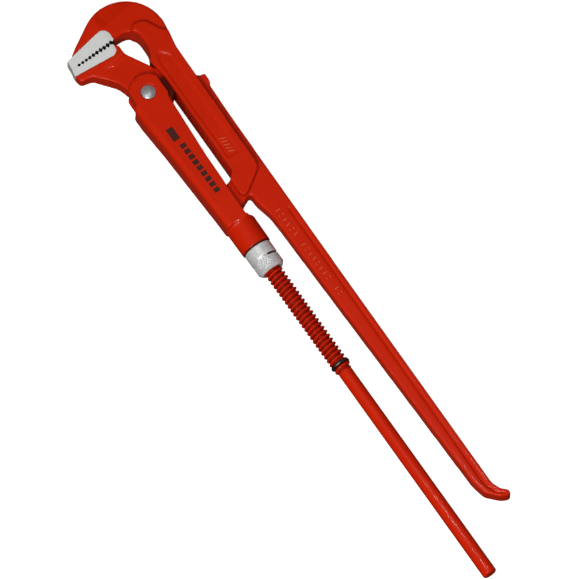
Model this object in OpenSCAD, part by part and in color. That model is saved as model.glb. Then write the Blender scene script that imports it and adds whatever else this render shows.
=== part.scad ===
// Swedish-pattern pipe wrench with 90 degree jaws, lying flat with its jaws closed.
// Everything is drawn from the rivet that carries the lower jaw: +X runs along the screw
// towards the handle ends, +Y towards the beam handle, and Z = 0 is the face it lies on.
// placed() then moves the origin to the middle of the footprint.

/* [Overall] */
// Length from the back of the hook to the end of the screw handle
overall_l = 427; // [420:1:436]
// Thickness over the cheeks of the hook jaw and over the shell
body_t = 20; // [19.6:0.1:21]

/* [Hook jaw] */
// Thickness of the hook itself, beyond the cheeks
hook_t = 16; // [14:0.5:18]
// Width of the channel between the two cheeks
channel_w = 12; // [11.9:0.1:12.4]
// Depth of the long recessed panel on each cheek
panel_d = 0.6; // [0.3:0.1:1.2]

/* [Jaw pads] */
// Number of gullets between the teeth of the upper pad; the lower pad has one fewer
teeth = 10; // [7:1:10]
// Distance from one tooth to the next
tooth_pitch = 2.6; // [2.2:0.1:2.6]
// Height of the teeth at the inner end of a pad; they grow lower towards its tip
tooth_h = 1.3; // [0.8:0.1:1.4]

/* [Lower jaw] */
// Thickness of the lower jaw along its pad
jaw_t = 16; // [14:0.5:18]
// Thickness of its wing, between the pad and the rivet
wing_t = 13; // [12:0.5:14]
// Thickness of the shank that turns between the ears of the shell
shank_t = 11.4; // [11:0.1:11.6]
// Radius of the rivet that carries the lower jaw
rivet_r = 3; // [2.5:0.1:3.2]

/* [Shell] */
// Width of the gap inside the shell
shell_gap = 12; // [11.9:0.1:12.2]
// Radius of the two ears round the rivet
ear_r = 11.9; // [11.7:0.1:12]
// Radius of the round boss where it leaves the shell
boss_r = 9.9; // [9.6:0.1:10]

/* [Adjusting nut] */
// Outer radius of the nut
nut_r = 9; // [9:0.1:9.3]
// Length of the nut
nut_l = 16.9; // [16.5:0.1:17.2]

/* [Screw handle] */
// Outer radius of the screw thread
thread_r = 5.75; // [5.6:0.05:5.75]
// Pitch of the screw thread
thread_pitch = 3; // [2.5:0.5:3]
// Radius of the plain round handle
rod_r = 4.5; // [4.4:0.05:4.7]

/* [Beam handle] */
// Thickness of the beam handle, its tongue and the arm in the channel
beam_t = 11; // [10:0.5:11]
// Depth of the groove that follows the rim of the beam handle
groove_d = 0.6; // [0.2:0.1:1.2]

/* [Hidden] */
$fn = 64;

paint = [0.78, 0.20, 0.05];
steel = [0.78, 0.79, 0.78];
dark_steel = [0.30, 0.29, 0.28];

mid_z = body_t / 2;
back_x = -60.87;                // back of the hook
end_x = back_x + overall_l;     // end of the screw handle
low_y = -30.05;                 // outer end of the lower jaw
high_y = 38.96;                 // bent end of the beam handle

run = 0.05;                     // radial clearance of a running fit
pivot = [73, 21];               // pin that joins the beam handle to the cheeks
pivot_r = 3;
eye = [82, 0];                  // pin that joins the beam handle to the screw handle
eye_pin_r = 2.5;
tang_t = 4;                     // flat eye on the end of the screw handle

tip = [-44.5, -28.8];           // outer corner of the upper pad
pad_top = [-49.8, 1.8];         // its inner corners, before rounding
pad_inner = [-39.9, 1.7];
low_pad_end = [-34, -30.05];     // outer and inner corners of the lower pad, on the jaw's side
low_pad_back = [-31.3, -3.5];
low_pad_top = [-33.2, -0.5];
low_pad_inner = [-37.4, -0.3];

shoulder_x = 99;                // where the shell becomes a round boss
boss_x = 117;                   // end of the boss, where the nut starts
spigot_r = 7.6;                 // reduced end of the shell inside the nut
spigot_l = 9.6;
ring_x = boss_x + 8.5;          // snap ring between spigot and nut
ring_w = 1.1;
ring_r = 8.25;
ring_root_r = 6.9;
nut_x = boss_x + 0.1;

thread_x0 = 95;                 // first and last thread on the screw
thread_x1 = 212;
thread_root_r = thread_r - 1.3;
stop_x = 206;                   // stop ring that ends the travel of the nut
stop_w = 2.4;

leaf_y = 16.8;                  // lower face of the leaf spring
leaf_t = 0.8;
leaf_w = 9;
leaf_eye = [-9, 19];            // rolled end of the leaf spring
leaf_eye_r = leaf_eye.y - leaf_y;

// ---- outlines: each vertex is [x, y, radius of the rounding at that corner] ----

function unit(v) = v / norm(v);
function at(v) = [v.x, v.y];
function corner(a, b, c, r) = r == 0 ? [b] :
    let (u = unit(a - b), v = unit(c - b))
    let (half = acos(u * v) / 2, hub = b + unit(u + v) * r / sin(half))
    let (p = b + u * r / tan(half) - hub, q = b + v * r / tan(half) - hub)
    let (from = atan2(p.y, p.x), sweep = (atan2(q.y, q.x) - from + 540) % 360 - 180)
    let (steps = ceil(abs(sweep) / 9))
    [for (i = [0 : steps]) hub + r * [cos(from + sweep * i / steps), sin(from + sweep * i / steps)]];
function rounded(v) = let (n = len(v))
    [for (i = [0 : n - 1]) each corner(at(v[(i + n - 1) % n]), at(v[i]), at(v[(i + 1) % n]), v[i].z)];

// A toothed edge from a towards b; side 1 puts the gullets on the left of that direction
function toothed(a, b, side, count) = let (d = unit(b - a))
    [for (i = [0 : count - 1])
        let (gullet = side * tooth_h * (0.7 + 0.3 * i / (count - 1)) * [-d.y, d.x])
        each [
            a + d * i * tooth_pitch,
            a + d * (i + 0.38) * tooth_pitch + gullet,
            a + d * (i + 0.54) * tooth_pitch + gullet,
            a + d * (i + 0.92) * tooth_pitch]];

hook_outline = [
    [-45.5, -25.2, 0], [-49.3, -20, 8], [-87.4, 44.4, 26.6], [-15, 30.3, 12], [76.2, 28.9, 8],
    [89.6, 9.4, 3], [74, 9.4, 1.5], [69.4, 13.7, 1.5], [-2, 13.9, 12], [-15.5, 12, 2],
    [-22.5, 16, 8], [-39.9, 16.1, 8], [pad_inner.x, pad_inner.y, 0], [pad_top.x, pad_top.y, 5]
];
cheek_window = [
    [-38, -5, 0], [-38, 13, 0], [-41.5, 17, 2.5], [-39.5, 24, 5], [-30, 28.6, 8], [-18, 42, 0],
    [100, 42, 0], [100, -5, 0]
];
slot_outline = [
    [-17, 5, 0], [-17, 21, 4], [-8, 24, 2], [-2, 24, 1], [-2, 45, 0], [100, 45, 0], [100, 5, 0]
];
panel_outline = [[-20, 18.4, 2], [-13, 24.4, 5], [62, 24.2, 0.6], [62, 16.4, 0.6], [-13, 16.4, 5]];

jaw_outline = [
    [low_pad_end.x, low_pad_end.y, 0], [-29.2, -29.6, 2.2], [-27.6, -21.6, 3.5],
    [-15.5, -11.2, 14], [-4, -7.8, 0], [-4, 8, 0], [-13.2, 11.6, 1], [-30, 2.1, 5],
    [-34.6, 2.4, 1.5], [low_pad_inner.x, low_pad_inner.y, 0], [low_pad_top.x, low_pad_top.y, 2.2],
    [low_pad_back.x, low_pad_back.y, 2]
];
pad_strip = [[-40, -32], [-28.8, -32], [-28.4, -23], [-27.3, -7], [-28.2, 0], [-30, 4], [-40, 4]];
shank_outline = [
    [-9, -8.6, 4], [0, -9.8, 9], [8.6, -6, 5], [9, 4.5, 4], [12.6, 9.3, 1.2], [7.5, 14.5, 1.5],
    [-10.5, 14.5, 3], [-14.5, 9, 2], [-12, 0, 0]
];

shell_outline = [
    [-7, 10, 1], [7, 10, 1], [8.4, 8.9, 1], [17, 8.4, 0], [52, 6.4, 0], [97.1, 5.4, 1],
    [98.5, 9.2, 0.6], [shoulder_x, 9.4, 0], [shoulder_x, -9.6, 0], [90, -9.7, 0], [36, -12, 30],
    [14, -13.7, 8], [5.5, -13.5, 2.5], [2, -10.3, 2.5], [-4, -10.3, 2], [-8, 0, 0]
];

beam_outline = [
    [4, 24, 1.5], [4, 29.2, 1], [7.5, 32.6, 1], [7.7, 35.5, 1.8], [14.5, 35.5, 2], [15.6, 34.2, 1],
    [42, 33.6, 0], [132, 33, 0],
    [319.5, 32.5, 9], [325.1, 34.6, 6], [329.5, 39.5, 2.1], [333.2, 37.5, 2.1], [330.2, 31.8, 5],
    [323, 25, 8], [313, 22.8, 14], [112, 18.4, 10], [104, 17.9, 8], [93.5, 15.4, 6],
    [86.4, 15.2, 1.2], [90.6, 7.4, 1.2], [92, 3, 2], [89, -4.2, 3], [82, -6.1, 5], [76.6, -3.5, 4],
    [73.4, 9.5, 0], [67.6, 16.4, 5.6], [67.6, 24, 2]
];
groove_outline = [
    [107, 28.2, 0.6], [107, 30.6, 0.6], [110, 30, 0], [316, 29.2, 8], [325.5, 32.6, 3],
    [328.4, 35.6, 0.4], [329.8, 34.8, 0.4], [327, 30.9, 4], [317, 27.5, 8], [110, 28.6, 0]
];

// ---- shared shapes ----

// Moves from the rivet to the middle of the footprint
module placed() {
    translate([-(back_x + end_x) / 2, -(low_y + high_y) / 2, 0]) children();
}

// A plate of the given thickness about the middle plane
module slab(t) {
    translate([0, 0, mid_z - t / 2]) linear_extrude(t) children();
}

// A round shape about the screw axis: its profile is drawn as [radius, x]
module turned() {
    translate([0, 0, mid_z]) rotate([0, 90, 0]) rotate_extrude() children();
}

// A round bar or hole through the tool, across its flat side
module cross_bar(p, r, t) {
    translate([p.x, p.y, mid_z - t / 2]) cylinder(r = r, h = t);
}

// The same shape cut into both faces of a plate of thickness t
module both_faces(t, depth) {
    for (s = [-1, 1]) translate([0, 0, mid_z + s * t / 2 - depth]) linear_extrude(2 * depth) children();
}

// Both jaws grow thinner towards their tips
module tapered_tip() {
    tip_t = 9;
    root_y = -2;
    far = 160;
    intersection() {
        children();
        translate([-80, 0, mid_z]) rotate([90, 0, 90]) linear_extrude(far + 20) polygon([
            [-32, -tip_t / 2], [root_y, -hook_t / 2], [root_y, -body_t], [far, -body_t],
            [far, body_t], [root_y, body_t], [root_y, hook_t / 2], [-32, tip_t / 2]
        ]);
    }
}

// ---- hook jaw ----

module hook_jaw() {
    color(paint) placed() difference() {
        tapered_tip() union() {
            slab(hook_t) polygon(rounded(hook_outline));
            intersection() {
                slab(body_t) polygon(rounded(hook_outline));
                slab(body_t) polygon(rounded(cheek_window));
            }
        }
        slab(channel_w) polygon(rounded(slot_outline));
        both_faces(body_t, panel_d) polygon(rounded(panel_outline));
        cross_bar(pivot, pivot_r, body_t + 2);
        cross_bar(leaf_eye, leaf_eye_r - leaf_t, body_t + 2);
    }
}

module upper_jaw_pad() {
    outer = [-38.52, -29.3];
    first = [-38.52, -25.4];
    last = [-39.25, 0.6];
    color(steel) placed() tapered_tip() slab(hook_t) polygon(concat(
        [tip, outer],
        toothed(first, last, 1, teeth),
        corner(last, pad_inner, pad_top, 1.2),
        corner(pad_inner, pad_top, tip, 5)
    ));
}

module handle_pivot_pin() {
    color(paint) placed() cross_bar(pivot, pivot_r, body_t - 0.2);
}

module leaf_spring() {
    leaf_end = 62;
    color(dark_steel) placed() difference() {
        union() {
            cross_bar(leaf_eye, leaf_eye_r, leaf_w);
            slab(leaf_w) polygon([
                leaf_eye - [0, leaf_eye_r], [leaf_end, leaf_y],
                [leaf_end, leaf_y + leaf_t], leaf_eye - [0, leaf_eye_r - leaf_t]
            ]);
        }
        cross_bar(leaf_eye, leaf_eye_r - leaf_t, leaf_w + 2);
    }
}

module spring_rivet() {
    color(paint) placed() cross_bar(leaf_eye, leaf_eye_r - leaf_t, body_t - 2 * panel_d);
}

// ---- beam handle ----

module beam_handle() {
    head_w = 15;        // the nub's wide head lands on the cheeks when the handles open
    head_outline = [[8.2, 34.6, 0.3], [8.2, 35.4, 0.4], [14, 35.4, 0.4], [14, 34.6, 0.3]];
    color(paint) placed() difference() {
        union() {
            slab(beam_t) polygon(rounded(beam_outline));
            slab(head_w) polygon(rounded(head_outline));
        }
        both_faces(beam_t, groove_d) polygon(rounded(groove_outline));
        slab(tang_t + 0.3) polygon([[73, 6.6], [94, 6.6], [96, -12], [72, -12]]);
        cross_bar(pivot, pivot_r + run, body_t);
        cross_bar(eye, eye_pin_r, body_t);
    }
}

// ---- screw handle ----

thread_count = floor((thread_x1 - thread_x0) / thread_pitch);
thread_profile = [for (i = [0 : thread_count - 1]) let (x = thread_x0 + i * thread_pitch) each [
    [thread_root_r, x + 0.20 * thread_pitch], [thread_r, x + 0.42 * thread_pitch],
    [thread_r, x + 0.66 * thread_pitch], [thread_root_r, x + 0.88 * thread_pitch]]];

module threaded_handle() {
    eye_r = 5.2;
    nose_r = 3;
    color(paint) placed() difference() {
        union() {
            turned() polygon(concat(
                [[0, thread_x0 - 0.5], [thread_root_r, thread_x0 - 0.5]],
                thread_profile,
                [[thread_root_r, thread_x1], [rod_r, thread_x1 + 1.5]],
                [for (a = [0 : 10 : 90])
                    [rod_r - nose_r + nose_r * cos(a), end_x - nose_r + nose_r * sin(a)]],
                [[0, end_x]]
            ));
            cross_bar(eye, eye_r, tang_t);
            slab(tang_t) polygon([
                [eye.x, eye_r], [thread_x0, thread_root_r - 0.05],
                [thread_x0 + 2, thread_root_r - 0.05], [thread_x0 + 2, -thread_root_r + 0.05],
                [thread_x0, -thread_root_r + 0.05], [eye.x, -eye_r]
            ]);
        }
        cross_bar(eye, eye_pin_r + run, body_t);
        turned() translate([thread_root_r - 0.6, stop_x - stop_w / 2]) square([3, stop_w]);
    }
}

module rod_eye_pin() {
    color(steel) placed() cross_bar(eye, eye_pin_r, beam_t);
}

module thread_stop_ring() {
    crown_r = stop_w / 2;
    color(dark_steel) placed() turned() polygon(concat(
        [[thread_root_r - 0.6, stop_x - crown_r]],
        [for (a = [-90 : 15 : 90]) [thread_r - 0.7 + crown_r * cos(a), stop_x + crown_r * sin(a)]],
        [[thread_root_r - 0.6, stop_x + crown_r]]
    ));
}

// ---- shell ----

// The shell's outer side is rounded where it fits the palm
module shell_rounding() {
    r = 4;
    far = 130;
    slope = 2.7;
    translate([14, -13.8, 0]) rotate([0, 0, slope]) rotate([90, 0, 90]) translate([0, 0, -45])
        linear_extrude(far) polygon(rounded([[0, 0, r], [40, 0, 0], [40, body_t, 0], [0, body_t, r]]));
}

module shell() {
    head_r = 4.9;
    head_d = 1.6;
    ear_low_y = -10.3;
    ear_high_y = 10;
    end_r = boss_r - 0.25;
    color(paint) placed() difference() {
        union() {
            intersection() {
                union() {
                    slab(body_t) polygon(rounded(shell_outline));
                    intersection() {
                        cross_bar([0, 0], ear_r, body_t);
                        translate([-20, ear_low_y, 0]) cube([40, ear_high_y - ear_low_y, body_t]);
                    }
                }
                shell_rounding();
            }
            turned() polygon([
                [0, shoulder_x - 1.3], [boss_r - 0.9, shoulder_x - 1.3], [boss_r, shoulder_x],
                [end_r, boss_x - 0.5], [end_r - 0.5, boss_x], [spigot_r, boss_x],
                [spigot_r, ring_x - ring_w / 2], [ring_root_r, ring_x - ring_w / 2],
                [ring_root_r, ring_x + ring_w / 2], [spigot_r, ring_x + ring_w / 2],
                [spigot_r, boss_x + spigot_l], [0, boss_x + spigot_l]
            ]);
        }
        slab(shell_gap) polygon([
            [-30, 30], [-30, -30], [3, -30], [5, -14], [9.8, -9], [20, -7.2], [94.2, -6.8], [94.2, 30]
        ]);
        turned() translate([0, 60]) square([thread_r + run, 80]);
        turned() translate([0, 93]) square([6.4, 3]);
        cross_bar([0, 0], rivet_r, body_t + 2);
        both_faces(body_t, head_d) circle(r = head_r);
    }
}

module jaw_rivet() {
    head_r = 4.7;
    head_h = 1.6;
    rim_h = 0.9;
    color(steel) placed() rotate_extrude() polygon([
        [0, 0.1], [2.2, 0.15], [head_r - 0.6, 0.4], [head_r, head_h - rim_h], [head_r, head_h],
        [rivet_r, head_h], [rivet_r, body_t - head_h], [head_r, body_t - head_h],
        [head_r, body_t - head_h + rim_h], [head_r - 0.6, body_t - 0.4], [2.2, body_t - 0.15],
        [0, body_t - 0.1]
    ]);
}

module nut_snap_ring() {
    color(dark_steel) placed() turned()
        translate([ring_root_r, ring_x - ring_w / 2]) square([ring_r - ring_root_r, ring_w]);
}

// ---- adjusting nut ----

// Crescent window through the nut's wall, through which the snap ring was fed in
module nut_window() {
    angle = 20;
    depth = 1.5;
    lens_r = 10;
    translate([ring_x - 0.65, 0, mid_z]) rotate([angle, 0, 0]) rotate([0, 90, 0]) difference() {
        cylinder(r = nut_r + 3, h = 1.3);
        translate([0, nut_r - depth - lens_r, -1]) cylinder(r = lens_r, h = 4);
    }
}

module adjusting_nut() {
    nut_end = nut_x + nut_l;
    bore_x = boss_x + spigot_l + 0.2;
    color(steel) placed() difference() {
        turned() polygon([
            [spigot_r + run, nut_x], [nut_r - 0.4, nut_x], [nut_r, nut_x + 0.4],
            [nut_r, nut_end - 2.2], [nut_r - 1.9, nut_end], [thread_r + 0.7, nut_end],
            [thread_r + run, nut_end - 0.6], [thread_r + run, bore_x], [spigot_r + run, bore_x],
            [spigot_r + run, ring_x + 0.7], [ring_r + 0.12, ring_x + 0.7],
            [ring_r + 0.12, ring_x - 0.7], [spigot_r + run, ring_x - 0.7]
        ]);
        nut_window();
    }
}

// ---- lower jaw ----

module lower_jaw() {
    pocket_r = ear_r + 0.5;
    color(paint) placed() difference() {
        union() {
            tapered_tip() difference() {
                union() {
                    slab(wing_t) polygon(rounded(jaw_outline));
                    intersection() {
                        slab(jaw_t) polygon(rounded(jaw_outline));
                        slab(jaw_t) polygon(pad_strip);
                    }
                }
                cross_bar([0, 0], pocket_r, body_t);
            }
            tapered_tip() difference() {
                slab(shank_t) polygon(rounded(jaw_outline));
                cross_bar([0, 0], 6, body_t);
            }
            slab(shank_t) polygon(rounded(shank_outline));
        }
        cross_bar([0, 0], rivet_r + run, body_t);
    }
}

module lower_jaw_pad() {
    outer = [-38.48, -29.6];
    first = [-38.48, -25.4];
    last = [-38.45, -1.5];
    color(steel) placed() tapered_tip() slab(jaw_t) polygon(concat(
        [low_pad_end],
        corner(low_pad_end, outer, first, 1.2),
        toothed(first, last, -1, teeth - 1),
        [low_pad_inner],
        corner(low_pad_inner, low_pad_top, low_pad_back, 2.2),
        corner(low_pad_top, low_pad_back, low_pad_end, 2)
    ));
}

hook_jaw();
upper_jaw_pad();
handle_pivot_pin();
leaf_spring();
spring_rivet();
beam_handle();
threaded_handle();
rod_eye_pin();
thread_stop_ring();
shell();
jaw_rivet();
nut_snap_ring();
adjusting_nut();
lower_jaw();
lower_jaw_pad();
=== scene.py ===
"""Looks of the pipe wrench: forged and painted copies of the CAD solids, a real helical
thread, a knurled nut and procedural materials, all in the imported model's frame."""

import bmesh
import bpy
import math
import numpy as np
from mathutils import Matrix, Vector


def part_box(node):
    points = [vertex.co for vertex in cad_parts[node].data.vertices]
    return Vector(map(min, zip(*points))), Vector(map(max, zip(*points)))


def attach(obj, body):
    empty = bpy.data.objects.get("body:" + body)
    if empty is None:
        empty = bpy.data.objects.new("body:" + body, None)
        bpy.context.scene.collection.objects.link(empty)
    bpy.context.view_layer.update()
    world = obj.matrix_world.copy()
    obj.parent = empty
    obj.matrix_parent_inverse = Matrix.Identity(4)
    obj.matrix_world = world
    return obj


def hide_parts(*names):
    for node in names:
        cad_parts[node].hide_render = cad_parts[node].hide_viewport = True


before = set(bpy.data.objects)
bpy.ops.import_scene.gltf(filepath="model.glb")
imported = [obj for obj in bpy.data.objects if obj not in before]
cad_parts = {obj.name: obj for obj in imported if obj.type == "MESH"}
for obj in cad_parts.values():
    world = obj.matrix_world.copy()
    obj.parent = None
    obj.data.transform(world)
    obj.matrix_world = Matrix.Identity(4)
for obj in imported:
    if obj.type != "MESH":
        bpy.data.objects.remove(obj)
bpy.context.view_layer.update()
MM = 0.001

# Drawing frame: millimetres from the jaw rivet, as part.scad draws the tool.
RIVET = (Vector(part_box("jaw_rivet")[0]) + Vector(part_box("jaw_rivet")[1])) / 2
MID_Z = RIVET.z / MM


def place(x, y, z):
    """Drawing millimetres to scene metres."""
    return Vector((RIVET.x + x * MM, RIVET.y + y * MM, z * MM))


def to_drawing(points):
    """Scene metres, as an array, to drawing millimetres."""
    return points / MM - np.array([RIVET.x / MM, RIVET.y / MM, 0.0])


def to_scene(points):
    """Drawing millimetres, as an array, to scene metres."""
    return (points + np.array([RIVET.x / MM, RIVET.y / MM, 0.0])) * MM


# ---------------------------------------------------------------- camera

RIGHT = Vector((0.5616, 0.8273, 0.0138))
DOWN = Vector((0.7834, -0.5263, -0.3306))
VIEW_CENTRE = (149.2, 1.7, 9.6)
CAMERA_DISTANCE = 15.0
VIEW_WIDTH = 0.3482
SENSOR = 36.0


def make_camera():
    """A long lens far away, so that the lines of the tool stay nearly parallel."""
    back = RIGHT.cross(-DOWN).normalized()
    right = RIGHT.normalized()
    up = back.cross(right)
    target = place(*VIEW_CENTRE)
    data = bpy.data.cameras.new("camera")
    data.sensor_width = SENSOR
    data.lens = SENSOR * CAMERA_DISTANCE / VIEW_WIDTH
    data.clip_end = 2 * CAMERA_DISTANCE
    camera = bpy.data.objects.new("camera", data)
    camera.matrix_world = Matrix.Translation(target + back * CAMERA_DISTANCE) @ Matrix(
        (right, up, back)).transposed().to_4x4()
    bpy.context.scene.collection.objects.link(camera)
    bpy.context.scene.camera = camera


# ---------------------------------------------------------------- mesh tools

def new_object(name, mesh):
    item = bpy.data.objects.new(name, mesh)
    bpy.context.scene.collection.objects.link(item)
    return item


def mesh_arrays(mesh):
    """Vertex positions and edge ends, as arrays."""
    points = np.empty(len(mesh.vertices) * 3)
    mesh.vertices.foreach_get("co", points)
    edges = np.empty(len(mesh.edges) * 2, dtype=np.int64)
    mesh.edges.foreach_get("vertices", edges)
    return points.reshape(-1, 3), edges.reshape(-1, 2)


def normals_of(mesh):
    normals = np.empty(len(mesh.vertices) * 3)
    mesh.vertices.foreach_get("normal", normals)
    return normals.reshape(-1, 3)


def set_points(mesh, points):
    mesh.vertices.foreach_set("co", points.ravel())
    mesh.update()


def add_plug(mesh, x, y, radius, low_z, high_z):
    """Adds a short upright cylinder, in drawing millimetres, which a voxel skin then merges in."""
    work = bmesh.new()
    work.from_mesh(mesh)
    where = Matrix.Translation(place(x, y, (low_z + high_z) / 2))
    bmesh.ops.create_cone(work, cap_ends=True, segments=48, radius1=radius * MM, radius2=radius * MM,
                          depth=(high_z - low_z) * MM, matrix=where)
    work.to_mesh(mesh)
    work.free()


def remeshed(node, name, voxel, plugs=()):
    """A copy of a CAD node as an even voxel skin, voxel in millimetres."""
    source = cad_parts[node]
    copy = new_object(name, source.data.copy())
    copy.matrix_world = source.matrix_world.copy()
    for plug in plugs:
        add_plug(copy.data, *plug)
    skin = copy.modifiers.new("skin", "REMESH")
    skin.mode = "VOXEL"
    skin.voxel_size = voxel * MM
    skin.adaptivity = 0
    graph = bpy.context.evaluated_depsgraph_get()
    mesh = bpy.data.meshes.new_from_object(copy.evaluated_get(graph))
    mesh.name = name
    old = copy.data
    copy.modifiers.clear()
    copy.data = mesh
    bpy.data.meshes.remove(old)
    mesh.transform(copy.matrix_world)
    copy.matrix_world = Matrix.Identity(4)
    mesh.shade_smooth()
    return copy


def relax(item, softness, rounds):
    """Rounds the edges of an even skin: softness 0 to 1 for each vertex, in drawing millimetres."""
    mesh = item.data
    points, edges = mesh_arrays(mesh)
    weight = (0.5 * softness(to_drawing(points), normals_of(mesh)))[:, None]
    count = len(points)
    degree = np.bincount(edges.ravel(), minlength=count)[:, None]
    a, b = edges[:, 0], edges[:, 1]
    for _ in range(rounds):
        total = np.empty_like(points)
        for axis in range(3):
            total[:, axis] = np.bincount(a, points[b, axis], count)
            total[:, axis] += np.bincount(b, points[a, axis], count)
        points = points + weight * (total / degree - points)
    set_points(mesh, points)


def push(item, offset):
    """Moves vertices by offset(points, normals), both in drawing millimetres."""
    mesh = item.data
    points, _ = mesh_arrays(mesh)
    drawn = to_drawing(points)
    set_points(mesh, to_scene(drawn + offset(drawn, normals_of(mesh))))


def ramp(value, low, high):
    """Smooth step: 0 below low and 1 above high."""
    t = np.clip((value - low) / (high - low), 0, 1)
    return t * t * (3 - 2 * t)


def line_distance(points, path):
    """Distance in the XY plane from each point to a polyline, and how far along it the foot is."""
    best = np.full(len(points), 1e9)
    along = np.zeros(len(points))
    run = 0.0
    for p, q in zip(path[:-1], path[1:]):
        p, q = np.array(p, float), np.array(q, float)
        d = q - p
        length = np.hypot(*d)
        t = np.clip(((points[:, :2] - p) @ d) / length ** 2, 0, 1)
        gap = np.hypot(*(points[:, :2] - (p + t[:, None] * d)).T)
        closer = gap < best
        best[closer] = gap[closer]
        along[closer] = run + t[closer] * length
        run += length
    return best, along


def lathe(name, profile, sides=72):
    """A turned piece about the upright axis through the jaw rivet; profile is (radius, z) pairs."""
    points = []
    for radius, z in profile:
        for i in range(sides):
            angle = 2 * math.pi * i / sides
            points.append(place(radius * math.cos(angle), radius * math.sin(angle), z))
    faces = []
    for row in range(len(profile) - 1):
        for i in range(sides):
            j = (i + 1) % sides
            a, b = row * sides, (row + 1) * sides
            faces.append((a + i, a + j, b + j, b + i))
    faces.append(tuple(reversed(range(sides))))
    faces.append(tuple((len(profile) - 1) * sides + i for i in range(sides)))
    mesh = bpy.data.meshes.new(name)
    mesh.from_pydata(points, [], faces)
    mesh.shade_smooth()
    return new_object(name, mesh)


def raised_bars(name, bars, surface_z, height=0.6):
    """Low forged bars with round ends on a flat face: each is (x, y, length, width, angle)."""
    levels = ((-0.12, -0.15), (0.0, 0.2 * height), (0.10, 0.8 * height), (0.24, height))
    arc = 8
    ring = 2 * (arc + 1)
    last = (len(levels) - 1) * ring
    points, faces = [], []
    for x, y, length, width, angle in bars:
        base = len(points)
        for inset, z in levels:
            radius = width / 2 - inset
            for end in (1, -1):
                for i in range(arc + 1):
                    turn = math.pi * (i / arc - 0.5) + (0 if end > 0 else math.pi)
                    across = end * (length - width) / 2 + radius * math.cos(turn)
                    along = radius * math.sin(turn)
                    points.append(place(x + across * math.cos(angle) - along * math.sin(angle),
                                        y + across * math.sin(angle) + along * math.cos(angle),
                                        surface_z + z))
        for a in range(base, base + last, ring):
            for i in range(ring):
                j = (i + 1) % ring
                faces.append((a + i, a + j, a + ring + j, a + ring + i))
        faces.append(tuple(base + last + i for i in range(ring)))
        faces.append(tuple(base + i for i in reversed(range(ring))))
    mesh = bpy.data.meshes.new(name)
    mesh.from_pydata(points, [], faces)
    mesh.shade_smooth()
    return new_object(name, mesh)


def sunk(points, normals, depth, flat_from=0.5, flat_to=0.8):
    """Offsets that press both flat faces in towards the middle plane by depth."""
    flat = ramp(np.abs(normals[:, 2]), flat_from, flat_to)
    shift = np.zeros_like(points)
    shift[:, 2] = -np.sign(points[:, 2] - MID_Z) * flat * depth
    return shift


# ---------------------------------------------------------------- materials

# Screw: radii and places in drawing millimetres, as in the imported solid.
THREAD_R = 5.75
ROOT_R = 4.35
PITCH = 3.0
THREAD_X0 = 95.0
THREAD_X1 = 211.6
STOP_X = 206.0
STOP_W = 2.4
ROD_R = 4.5

# Paint, print, painted shade and a painted highlight, as linear colours.
PAINT = (0.61, 0.0165, 0.0004, 1)
PAINT_DEEP = (0.55, 0.0125, 0.0003, 1)
PAINT_SHADE = (0.13, 0.002, 0.0004, 1)
PAINT_THIN = (0.66, 0.05, 0.012, 1)
# Lighter paint, a painted highlight for the raised marks.
PAINT_GLINT = (0.80, 0.16, 0.07, 1)
# Dark colour of painted shadow in gaps between parts.
GAP_SHADOW = (0.035, 0.006, 0.003, 1)
# Black print, also used as painted shade on the teeth's flanks.
PRINT_AND_SHADE_BLACK = (0.020, 0.017, 0.014, 1)
# Painted shade in grooves.
GROOVE_SHADE = (0.05, 0.05, 0.05, 1)


def material(name):
    mat = bpy.data.materials.new(name)
    mat.use_nodes = True
    tree = mat.node_tree
    return mat, tree, tree.nodes["Principled BSDF"]


def node(tree, kind, inputs=None, **settings):
    made = tree.nodes.new(kind)
    for key, value in settings.items():
        setattr(made, key, value)
    for key, value in (inputs or {}).items():
        if isinstance(value, bpy.types.NodeSocket):
            tree.links.new(value, made.inputs[key])
        else:
            made.inputs[key].default_value = value
    return made


def noise(tree, vector, scale, detail=2.0, roughness=0.5):
    return node(tree, "ShaderNodeTexNoise", {
        "Vector": vector, "Scale": scale, "Detail": detail, "Roughness": roughness}).outputs["Fac"]


def math_node(tree, operation, a, b=0.0):
    return node(tree, "ShaderNodeMath", {0: a, 1: b}, operation=operation).outputs[0]


def map_range(tree, value, low, high, to_low, to_high):
    return node(tree, "ShaderNodeMapRange", {
        "Value": value, "From Min": low, "From Max": high, "To Min": to_low, "To Max": to_high
    }).outputs["Result"]


def mix_colour(tree, factor, a, b):
    mixed = node(tree, "ShaderNodeMix", {0: factor, 6: a, 7: b}, data_type="RGBA")
    return mixed.outputs[2]


def bump(tree, height, strength, distance, normal=None):
    inputs = {"Height": height, "Strength": strength, "Distance": distance}
    if normal is not None:
        inputs["Normal"] = normal
    return node(tree, "ShaderNodeBump", inputs).outputs["Normal"]


def object_coordinates(tree):
    return node(tree, "ShaderNodeTexCoord").outputs["Object"]


def separated(tree, vector):
    """The X, Y and Z of a vector socket."""
    return node(tree, "ShaderNodeSeparateXYZ", {0: vector}).outputs


def box_window(tree, value, low, high):
    """1 where low < value < high, with an edge 0.3 mm wide."""
    edge = 0.15 * MM
    rise = map_range(tree, value, low - edge, low + edge, 0, 1)
    fall = map_range(tree, value, high - edge, high + edge, 1, 0)
    return math_node(tree, "MULTIPLY", rise, fall)


def box_mask(tree, split, x0, y0, x1, y1):
    """1 inside a box given in drawing millimetres."""
    low, high = place(x0, y0, 0), place(x1, y1, 0)
    return math_node(tree, "MULTIPLY", box_window(tree, split[0], low.x, high.x),
                     box_window(tree, split[1], low.y, high.y))


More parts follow.
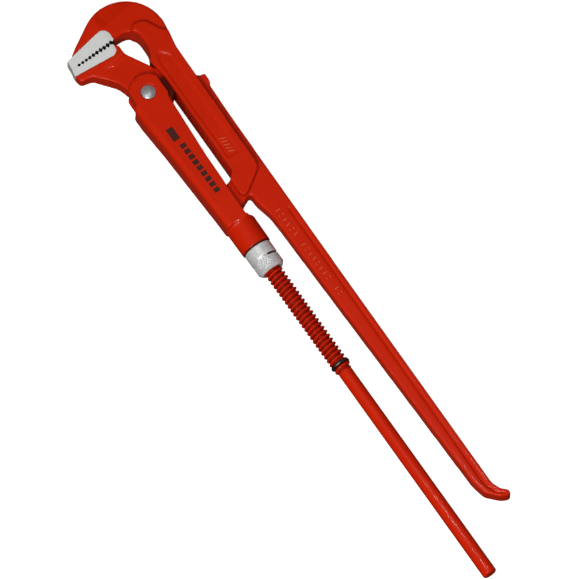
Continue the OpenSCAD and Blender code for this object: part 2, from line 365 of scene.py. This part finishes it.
def thread_root_shade_mask(tree, where):
    """1 in the roots of the screw thread, which are painted darker as their shade."""
    split = separated(tree, where)
    across = math_node(tree, "SUBTRACT", split[1], RIVET.y)
    above = math_node(tree, "SUBTRACT", split[2], MID_Z * MM)
    squares = math_node(tree, "ADD", math_node(tree, "MULTIPLY", across, across),
                        math_node(tree, "MULTIPLY", above, above))
    radius = math_node(tree, "POWER", squares, 0.5)
    deep = map_range(tree, radius, (ROOT_R + 0.1) * MM, (THREAD_R - 0.55) * MM, 0.72, 0)
    end = place(THREAD_X1, 0, 0).x
    return math_node(tree, "MULTIPLY", deep, map_range(tree, split[0], end - MM, end, 1, 0))


def printed_mask(tree, where, boxes):
    """The dark print on the upper face, worn through in small specks."""
    split = separated(tree, where)
    mask = box_mask(tree, split, *boxes[0])
    for box in boxes[1:]:
        mask = math_node(tree, "MAXIMUM", mask, box_mask(tree, split, *box))
    upper = map_range(tree, split[2], MID_Z * MM, (MID_Z + 1) * MM, 0, 1)
    wear_and_glint = map_range(tree, noise(tree, where, 1400, 2), 0.30, 0.42, 0.55, 0.94)
    return math_node(tree, "MULTIPLY", math_node(tree, "MULTIPLY", mask, upper), wear_and_glint)


def nut_end_shadow_mask(tree, where, x0, x1):
    """A painted shadow: the dark line where the shell meets the nut."""
    line = box_window(tree, separated(tree, where)[0], place(x0, 0, 0).x, place(x1, 0, 0).x)
    return math_node(tree, "MULTIPLY", line, 0.9)


def tail_shadow_mask(tree, where):
    """Painted shadow on the tail of the lower jaw, which runs between the cheeks and lies in their
    shade.
    """
    split = separated(tree, where)
    inner = map_range(tree, split[1], place(0, 9.3, 0).y, place(0, 10.6, 0).y, 0, 0.92)
    behind = map_range(tree, split[0], place(-7, 0, 0).x, place(-3, 0, 0).x, 0, 1)
    return math_node(tree, "MULTIPLY", inner, behind)


def paint_material(name, printed=(), thread=False, tail_shadow=False, end_line=None, wear_and_glint=0.0):
    """Thick glossy enamel over a forging, darkened as painted shade in creases and hollows. printed
    lists dark print boxes (x0, y0, x1, y1) and end_line a band of painted shadow (x0, x1), both in
    drawing millimetres; the other options add a painted highlight, painted shadow on the jaw's tail and
    painted shade in the thread roots."""
    mat, tree, shader = material(name)
    where = object_coordinates(tree)
    broad = noise(tree, where, 60, 3)
    colour = mix_colour(tree, map_range(tree, broad, 0.3, 0.7, 0, 0.45), PAINT, PAINT_DEEP)
    edge = node(tree, "ShaderNodeNewGeometry").outputs["Pointiness"]
    thin = map_range(tree, edge, 0.53, 0.62, 0, 0.35)
    colour = mix_colour(tree, thin, colour, PAINT_THIN)
    # Painted shade: concave creases are mixed towards the dark shade colour.
    crease_shade = map_range(tree, edge, 0.47, 0.38, 0, 0.6)
    colour = mix_colour(tree, crease_shade, colour, PAINT_SHADE)
    # Painted shade: hollows within the same piece are darkened by occlusion, standing in for their
    # shade.
    hollow = node(tree, "ShaderNodeAmbientOcclusion", {"Distance": 3.0 * MM}, samples=8, only_local=True)
    hollow_shade = map_range(tree, hollow.outputs["AO"], 0.35, 0.85, 0.85, 0)
    colour = mix_colour(tree, hollow_shade, colour, PAINT_SHADE)
    # Painted highlight: the whole paint is lightened towards a glint colour.
    if wear_and_glint:
        colour = mix_colour(tree, wear_and_glint, colour, PAINT_GLINT)
    # Painted shadow across the shell's end, where it meets the nut.
    if end_line:
        colour = mix_colour(tree, nut_end_shadow_mask(tree, where, *end_line), colour, GAP_SHADOW)
    # Painted shadow on the jaw's tail between the cheeks.
    if tail_shadow:
        colour = mix_colour(tree, tail_shadow_mask(tree, where), colour, GAP_SHADOW)
    # Painted shade in the roots of the thread.
    if thread:
        colour = mix_colour(tree, thread_root_shade_mask(tree, where), colour, PAINT_SHADE)
    if printed:
        colour = mix_colour(tree, printed_mask(tree, where, printed), colour, PRINT_AND_SHADE_BLACK)
    rough = map_range(tree, noise(tree, where, 180, 3), 0.3, 0.7, 0.30, 0.42)
    peel = bump(tree, noise(tree, where, 900, 2), 0.10, 0.0002)
    waves = bump(tree, noise(tree, where, 220, 2), 0.12, 0.0006, peel)
    tree.links.new(colour, shader.inputs["Base Color"])
    tree.links.new(rough, shader.inputs["Roughness"])
    tree.links.new(waves, shader.inputs["Normal"])
    shader.inputs["Specular IOR Level"].default_value = 0.08
    shader.inputs["Coat Weight"].default_value = 0.13
    shader.inputs["Coat Roughness"].default_value = 0.06
    return mat


def steel_material(name, light, dark, roughness, grain_scale, grain_bump=0.15, metallic=1.0,
                   shaded_flanks=None, groove_shade=0.0):
    """Bare steel: grain stretched by grain_scale, with small pits and stains. A box (x0, y0, x1, y1) in
    drawing millimetres has the teeth's upright flanks painted black as shade; grooves can be darkened as
    painted shade."""
    mat, tree, shader = material(name)
    where = object_coordinates(tree)
    stretched = node(tree, "ShaderNodeMapping", {"Vector": where, "Scale": grain_scale}).outputs[0]
    grain = noise(tree, stretched, 1, 4, 0.6)
    speck = noise(tree, where, 2200, 2, 0.7)
    stain = noise(tree, where, 160, 3)
    both = math_node(tree, "ADD", math_node(tree, "MULTIPLY", grain, 0.55),
                     math_node(tree, "MULTIPLY", speck, 0.45))
    colour = mix_colour(tree, map_range(tree, both, 0.36, 0.64, 0, 1), dark, light)
    colour = mix_colour(tree, map_range(tree, stain, 0.55, 0.75, 0, 0.35), colour, dark)
    # Painted shade: concave grooves, as in the knurl, are darkened.
    if groove_shade:
        edge = node(tree, "ShaderNodeNewGeometry").outputs["Pointiness"]
        colour = mix_colour(tree, map_range(tree, edge, 0.42, 0.5, groove_shade, 0), colour, GROOVE_SHADE)
    # Painted shade: the upright flanks of the teeth inside the box are coloured black.
    if shaded_flanks:
        facing = separated(tree, node(tree, "ShaderNodeNewGeometry").outputs["True Normal"])
        upright = map_range(tree, math_node(tree, "ABSOLUTE", facing[2]), 0.3, 0.6, 1, 0)
        flanks = box_mask(tree, separated(tree, where), *shaded_flanks)
        colour = mix_colour(tree, math_node(tree, "MULTIPLY", upright, flanks), colour, PRINT_AND_SHADE_BLACK)
    tree.links.new(colour, shader.inputs["Base Color"])
    shader.inputs["Metallic"].default_value = metallic
    tree.links.new(map_range(tree, grain, 0.3, 0.7, roughness - 0.07, roughness + 0.09),
                   shader.inputs["Roughness"])
    tree.links.new(bump(tree, both, grain_bump, 0.0002), shader.inputs["Normal"])
    return mat


def give(item, mat):
    item.data.materials.clear()
    item.data.materials.append(mat)


def dress(cad_node, mat):
    """Puts a material on a CAD node without touching its mesh data."""
    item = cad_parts[cad_node]
    if not item.material_slots:
        item.data.materials.append(mat)
    for slot in item.material_slots:
        slot.material = mat
    return item


def finish_piece(item, body, replaced, mat):
    """Gives a piece its material and body, and hides the CAD nodes that it stands in for."""
    give(item, mat)
    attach(item, body)
    if replaced:
        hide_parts(*replaced)


# ---------------------------------------------------------------- pieces

# Lines and places on the pieces, in drawing millimetres.
PAD_EDGE = [(-44.5, -28.8), (-49.6, 1.0), (-39.9, 1.7), (-38.5, -1)]
LOW_PAD_EDGE = [(-34, -30.05), (-31.3, -3.5), (-33.2, -0.5), (-37.4, -0.3)]
CREASE = [(-49.4, -4), (-49.4, 1.3), (-49.8, 5.3), (-51.4, 12.1), (-52.6, 19.5), (-53.8, 30)]
PANEL_RIM = [(-12, 24.2), (61.8, 24.2), (61.8, 16.6), (-12, 16.6)]
PIVOT = (73, 21)
SPRING_EYE = (-9, 19)
GROOVE = [(107.5, 29.5), (112, 29.3), (316, 28.3), (321, 29.4), (326.2, 31.9), (329.2, 35.4)]
BEAM_NUB = (11, 33)
CHEEK_TOP = MID_Z + 10.0
PANEL_TOP = MID_Z + 9.4
BEAM_TOP = MID_Z + 5.5
PLUG_DEPTH = 3.2
CHANNEL_HALF = 6.4
SKIN = 0.5
NUT_SKIN = 0.22
NUT_R = 9.0
NUT_TEETH = 36


def make_hook(mat):
    """The hook and its cheeks, with the ends of the pivot pin and spring rivet painted over."""
    plugs = []
    for (x, y), radius, top in ((PIVOT, 3.4, CHEEK_TOP), (SPRING_EYE, 1.9, PANEL_TOP + 0.1)):
        bottom = 2 * MID_Z - top
        plugs.append((x, y, radius, top - PLUG_DEPTH, top))
        plugs.append((x, y, radius, bottom, bottom + PLUG_DEPTH))
    item = remeshed("hook_jaw", "hook_forging", SKIN, plugs)

    def softness(p, n):
        away_from_pad = ramp(line_distance(p, PAD_EDGE)[0], 0.5, 3.0)
        channel = np.where((np.abs(p[:, 2] - MID_Z) < CHANNEL_HALF) & (p[:, 0] > -20), 0.12, 1.0)
        cheek = 1 - 0.80 * ramp(p[:, 0], -26, -14)
        return np.clip(away_from_pad * channel * cheek, 0.0, 1)

    def facet(p, n):
        gap, _ = line_distance(p, CREASE)
        crease_x = np.interp(p[:, 1], [y for _, y in CREASE], [x for x, _ in CREASE])
        left = ramp(crease_x - p[:, 0], 0, 0.6)
        rise = ramp(p[:, 1], -3, 4)
        return sunk(p, n, left * rise * np.minimum(0.20 * gap, 1.3))

    def panel_rim(p, n):
        gap, _ = line_distance(p, PANEL_RIM)
        return sunk(p, n, 0.28 * np.exp(-(gap / 0.45) ** 2))

    relax(item, softness, 20)
    push(item, facet)
    push(item, panel_rim)
    finish_piece(item, "hook", ["hook_jaw"], mat)


def make_beam(mat):
    """The flat forged handle, with a groove along it and a rounder bent tip."""
    item = remeshed("beam_handle", "beam_forging", SKIN)

    def softness(p, n):
        tongue = ramp(p[:, 1], 6, 16) * 0.8 + 0.2
        tongue = np.where(p[:, 0] > 96, 1.0, tongue)
        from_nub = np.hypot(p[:, 0] - BEAM_NUB[0], p[:, 1] - BEAM_NUB[1])
        nub = 1 - 0.75 * (1 - ramp(from_nub, 4, 9))
        return tongue * nub

    def tip_softness(p, n):
        return ramp(p[:, 0], 322, 328)

    def groove(p, n):
        gap, along = line_distance(p, GROOVE)
        deep = 0.45 + 0.30 * ramp(along, 170, 215)
        wide = 0.42 + 0.55 * ramp(along, 170, 215)
        return sunk(p, n, deep * np.exp(-(gap / wide) ** 2), 0.6, 0.9)

    relax(item, softness, 18)
    relax(item, tip_softness, 22)
    push(item, groove)
    finish_piece(item, "beam", ["beam_handle"], mat)


def make_marks(mat):
    """Plain raised bars in the places of the forged marks, on the beam and in the cheek's panel."""
    first_x, first_y, slope = 105.0, 23.1, 0.025
    bar_step, group_gap = 3.7, 4.5
    bars = []
    x = first_x
    for group in (6, 8, 2):
        for i in range(group):
            y = first_y + slope * (x - first_x)
            if i % 3 == 1:
                bars.append((x, y + 1.2, 1.5, 0.8, 0.0))
                bars.append((x, y - 1.2, 1.5, 0.8, 0.0))
            else:
                lean = 0.25 if i % 2 else 0
                bars.append((x, y, 3.4, 0.85, math.pi / 2 + lean))
            x += bar_step
        x += group_gap
    finish_piece(raised_bars("beam_marks", bars, BEAM_TOP), "beam", (), mat)
    bars = [(49.5 + 2.4 * i, 20.4, 4.2, 0.8, 1.2) for i in range(5)]
    finish_piece(raised_bars("cheek_marks", bars, PANEL_TOP), "hook", (), mat)


def make_shell(mat):
    """The sleeve, rounder along the palm side than inside or at the boss."""
    item = remeshed("shell", "shell_forging", SKIN)

    def softness(p, n):
        inside = np.where((np.abs(p[:, 2] - MID_Z) < CHANNEL_HALF) & (p[:, 0] < 94), 0.15, 1.0)
        head = ramp(np.hypot(p[:, 0], p[:, 1]), 5.2, 7.5) * 0.9 + 0.1
        boss = 1 - 0.85 * ramp(p[:, 0], 104, 112)
        palm = 1 + 1.1 * (1 - ramp(p[:, 1], -10, -8)) * ramp(p[:, 0], 4, 12)
        return 0.45 * inside * head * boss * palm

    relax(item, softness, 24)
    finish_piece(item, "sleeve", ["shell"], mat)


def make_lower_jaw(mat):
    """The lower jaw, with crisp edges at the pad and at the rivet."""
    item = remeshed("lower_jaw", "lower_jaw_forging", SKIN)

    def softness(p, n):
        away_from_pad = ramp(line_distance(p, LOW_PAD_EDGE)[0], 0.4, 2.6)
        shank = np.where(np.hypot(p[:, 0], p[:, 1]) < 13.5, 0.2, 1.0)
        return away_from_pad * shank

    relax(item, softness, 10)
    finish_piece(item, "jaw", ["lower_jaw"], mat)


def make_rivet(mat):
    """The jaw rivet, with domed heads that sink into the ears of the shell."""
    head_r, crown, rim, seat, shank_r = 4.6, 9.9, 8.75, 8.42, 3.0
    steps = 12
    half = [(0.05, crown)]
    for i in range(1, steps + 1):
        t = i / steps
        half.append((head_r * t, crown - (crown - rim) * t ** 2.4))
    half += [(head_r + 0.08, rim - 0.2), (head_r + 0.08, seat), (shank_r, seat)]
    profile = [(r, MID_Z - z) for r, z in half] + [(r, MID_Z + z) for r, z in reversed(half)]
    finish_piece(lathe("rivet_domed", profile), "sleeve", ["jaw_rivet"], mat)


def thread_radius(x, turn):
    """Radius of the rolled thread at x for a fraction of a turn; works on arrays."""
    phase = np.mod((x - THREAD_X0) / PITCH - turn, 1.0)
    height = np.interp(phase, [0, 0.16, 0.38, 0.46, 0.60, 0.68, 0.90, 1.0],
                       [0, 0.03, 0.85, 1.0, 1.0, 0.85, 0.03, 0])
    fade = ramp(x, THREAD_X0, THREAD_X0 + 4) * (1 - ramp(x, THREAD_X1 - 3.2, THREAD_X1))
    radius = ROOT_R + (THREAD_R - ROOT_R) * height * fade
    radius = radius + (ROD_R - ROOT_R) * ramp(x, THREAD_X1 - 1.5, THREAD_X1 + 1)
    ring = np.abs(x - STOP_X) < STOP_W / 2 + 0.15
    return np.where(ring, np.minimum(radius, ROOT_R), radius)


def screw_rows(turns, end_x):
    """Rings of the screw handle, each an x and a radius for every fraction of a turn in turns."""
    nose = 1.3
    rows = []
    for x in np.arange(THREAD_X0, THREAD_X1 + 2, 0.2):
        rows.append((x, thread_radius(np.full(len(turns), x), turns)))
    for x in np.linspace(THREAD_X1 + 3, end_x - 3.2, 60):
        rows.append((x, thread_radius(np.full(len(turns), x), turns)))
    for angle in np.linspace(0, math.pi / 2, 12):
        radius = ROD_R - nose + nose * math.cos(angle)
        rows.append((end_x - nose + nose * math.sin(angle), np.full(len(turns), radius)))
    for radius in (1.6, 1.0, 0.4):
        rows.append((end_x, np.full(len(turns), radius)))
    return rows


def make_screw(mat):
    """The screw handle as one turned skin: thread, plain rod and rounded end."""
    end_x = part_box("threaded_handle")[1][0] / MM - RIVET.x / MM
    sides = 80
    turns = np.arange(sides) / sides
    rows = screw_rows(turns, end_x)
    points = [place(THREAD_X0, 0, MID_Z)]
    for x, radii in rows:
        for radius, turn in zip(radii, turns):
            angle = 2 * math.pi * turn
            points.append(place(x, radius * math.cos(angle), MID_Z + radius * math.sin(angle)))
    points.append(place(end_x, 0, MID_Z))
    faces = [(0, 1 + (i + 1) % sides, 1 + i) for i in range(sides)]
    for row in range(len(rows) - 1):
        base = 1 + row * sides
        for i in range(sides):
            j = (i + 1) % sides
            faces.append((base + i, base + j, base + sides + j, base + sides + i))
    last = 1 + (len(rows) - 1) * sides
    faces += [(last + i, last + (i + 1) % sides, len(points) - 1) for i in range(sides)]
    mesh = bpy.data.meshes.new("screw_handle")
    mesh.from_pydata(points, [], faces)
    mesh.shade_smooth()
    item = new_object("screw_handle", mesh)
    finish_piece(item, "screw", ["threaded_handle"], mat)
    make_tang(mat)


def make_tang(mat):
    """The flat eye on the hidden end of the screw handle, cut from the CAD solid."""
    cut_x = THREAD_X0 + 0.6
    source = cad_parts["threaded_handle"]
    mesh = source.data.copy()
    mesh.transform(source.matrix_world)
    work = bmesh.new()
    work.from_mesh(mesh)
    cut = bmesh.ops.bisect_plane(work, geom=work.verts[:] + work.edges[:] + work.faces[:],
                                 plane_co=place(cut_x, 0, MID_Z), plane_no=(1, 0, 0), clear_outer=True)
    edges = [part for part in cut["geom_cut"] if isinstance(part, bmesh.types.BMEdge)]
    bmesh.ops.contextual_create(work, geom=edges)
    work.to_mesh(mesh)
    work.free()
    mesh.name = "screw_tang"
    item = new_object("screw_tang", mesh)
    finish_piece(item, "screw", ["threaded_handle"], mat)


def make_nut(mat):
    """The nut, with a crossed knurl on its far half and a ring groove before it."""
    item = remeshed("adjusting_nut", "nut_knurled", NUT_SKIN)
    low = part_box("adjusting_nut")[0][0] / MM - RIVET.x / MM

    def softness(p, n):
        return np.full(len(p), 0.5)

    def knurl(p, n):
        x, y, z = p[:, 0] - low, p[:, 1], p[:, 2] - MID_Z
        radius = np.hypot(y, z)
        step = np.arctan2(z, y) * NUT_TEETH / (2 * math.pi)
        pitch = 2 * math.pi * NUT_R / NUT_TEETH
        one = np.abs(np.mod(step + x / pitch, 1) - 0.5)
        two = np.abs(np.mod(step - x / pitch, 1) - 0.5)
        outside = ramp(radius, NUT_R - 0.5, NUT_R - 0.15)
        band = ramp(x, 8.4, 9.0) * (1 - ramp(x, 14.2, 14.8)) * outside
        depth = 0.42 * band * (1 - 2 * np.minimum(one, two))
        depth += 0.22 * np.exp(-((x - 8.0) / 0.35) ** 2) * outside
        shift = np.zeros_like(p)
        shift[:, 1] = -depth * y / np.maximum(radius, 0.1)
        shift[:, 2] = -depth * z / np.maximum(radius, 0.1)
        return shift

    relax(item, softness, 6)
    push(item, knurl)
    finish_piece(item, "nut", ["adjusting_nut"], mat)


# ---------------------------------------------------------------- set and lights

def make_floor():
    """A bright floor that the glossy and diffuse rays of the tool don't see."""
    mat, _, shader = material("floor")
    shader.inputs["Base Color"].default_value = (0.55, 0.55, 0.55, 1)
    shader.inputs["Roughness"].default_value = 0.9
    shader.inputs["Specular IOR Level"].default_value = 0.1
    shader.inputs["Emission Color"].default_value = (1, 1, 1, 1)
    shader.inputs["Emission Strength"].default_value = 0.92
    half, z = 6, -0.2 * MM
    corners = [(-half, -half, z), (half, -half, z), (half, half, z), (-half, half, z)]
    mesh = bpy.data.meshes.new("floor")
    mesh.from_pydata(corners, [], [(0, 1, 2, 3)])
    item = new_object("floor", mesh)
    item.visible_glossy = False
    item.visible_diffuse = False
    give(item, mat)


def area_light(name, position, target, size, power):
    """A rectangular light aimed at target; size in metres and power in watts."""
    data = bpy.data.lights.new(name, "AREA")
    data.shape = "RECTANGLE"
    data.size, data.size_y = size
    data.energy = power
    light = bpy.data.objects.new(name, data)
    light.location = position
    light.rotation_euler = (Vector(target) - Vector(position)).to_track_quat("-Z", "Y").to_euler()
    bpy.context.scene.collection.objects.link(light)


GROUND_GLOW = (0.075, 0.055, 0.040, 1)
SKY_GLOW = (0.150, 0.138, 0.118, 1)


def make_lights():
    """One soft main light, two narrow ones for the streaks on the rod and the jaw, and a dim sky."""
    area_light("main", place(720, -860, 1380), place(150, 0, 10), (0.8, 0.8), 20.5)
    area_light("rod_streak", place(40, -235, 1100), place(345, 0, 10), (0.022, 0.12), 1.4)
    area_light("jaw_streak", place(50, 166, 1100), place(-28, -15, 17), (0.09, 0.05), 0.8)
    world = bpy.data.worlds.new("studio")
    world.use_nodes = True
    tree = world.node_tree
    height = separated(tree, node(tree, "ShaderNodeTexCoord").outputs["Generated"])[2]
    sky = mix_colour(tree, map_range(tree, height, -0.15, 0.25, 0, 1), GROUND_GLOW, SKY_GLOW)
    tree.links.new(sky, tree.nodes["Background"].inputs["Color"])
    bpy.context.scene.world = world
    bpy.context.scene.view_settings.view_transform = "Standard"


make_camera()
make_floor()
make_lights()

# Print on the shell: one block and a row of nine dashes, as boxes in drawing millimetres.
BLOCK = (26.5, -5.4, 35.5, -0.8)
DASHES = [(39 + 4.3 * i, -3.9 + 0.12 * i, 42.1 + 4.3 * i, -0.1 + 0.12 * i) for i in range(9)]
# Box, in drawing millimetres, of the teeth whose flanks are painted black as shade.
TEETH_BOX = (-41.6, -26.2, -36.4, 2.5)

paint = paint_material("red_enamel")
# The shell's paint carries its print and a painted shadow line at the nut.
shell_paint = paint_material("red_enamel_printed", [BLOCK] + DASHES, end_line=(116.2, 119))
# The raised marks' paint is lightened as a painted highlight.
mark_paint = paint_material("red_enamel_glint", wear_and_glint=0.45)
# The lower jaw's paint is darkened as painted shadow on its tail.
jaw_paint = paint_material("red_enamel_tail_shadow", tail_shadow=True)
thread_paint = paint_material("red_enamel_thread", thread=True)
# The pads' steel, with the teeth's flanks painted black as shade.
pad_steel = steel_material("ground_steel", (0.84, 0.86, 0.85, 1), (0.64, 0.66, 0.66, 1), 0.45,
                           (900, 2600, 900), metallic=0.25, shaded_flanks=TEETH_BOX)
# The nut's knurl grooves are darkened as painted shade.
nut_steel = steel_material("zinc_plate", (0.90, 0.91, 0.92, 1), (0.58, 0.59, 0.61, 1), 0.34,
                           (1200, 500, 500), metallic=0.3, groove_shade=0.8)
rivet_steel = steel_material("rivet_steel", (0.50, 0.51, 0.53, 1), (0.28, 0.29, 0.31, 1), 0.34,
                             (700, 700, 700), metallic=0.5)
dark_steel = steel_material("blued_steel", (0.16, 0.13, 0.12, 1), (0.06, 0.045, 0.04, 1), 0.38,
                            (900, 900, 900))

make_hook(paint)
make_beam(paint)
make_shell(shell_paint)
make_lower_jaw(jaw_paint)
make_screw(thread_paint)
make_nut(nut_steel)
make_rivet(rivet_steel)
make_marks(mark_paint)

# CAD nodes that keep their shape: name, material and bevel in millimetres.
DRESSED = (("upper_jaw_pad", pad_steel, 0.25), ("lower_jaw_pad", pad_steel, 0.25),
           ("nut_snap_ring", dark_steel, 0.1), ("thread_stop_ring", dark_steel, 0),
           ("leaf_spring", dark_steel, 0.1), ("rod_eye_pin", dark_steel, 0.2),
           ("handle_pivot_pin", paint, 0.3), ("spring_rivet", paint, 0.2))

for cad_node, mat, edge in DRESSED:
    item = dress(cad_node, mat)
    if edge:
        bevel = item.modifiers.new("edge", "BEVEL")
        bevel.width = edge * MM
        bevel.segments = 3
        bevel.limit_method = "ANGLE"
        bevel.angle_limit = math.radians(35)
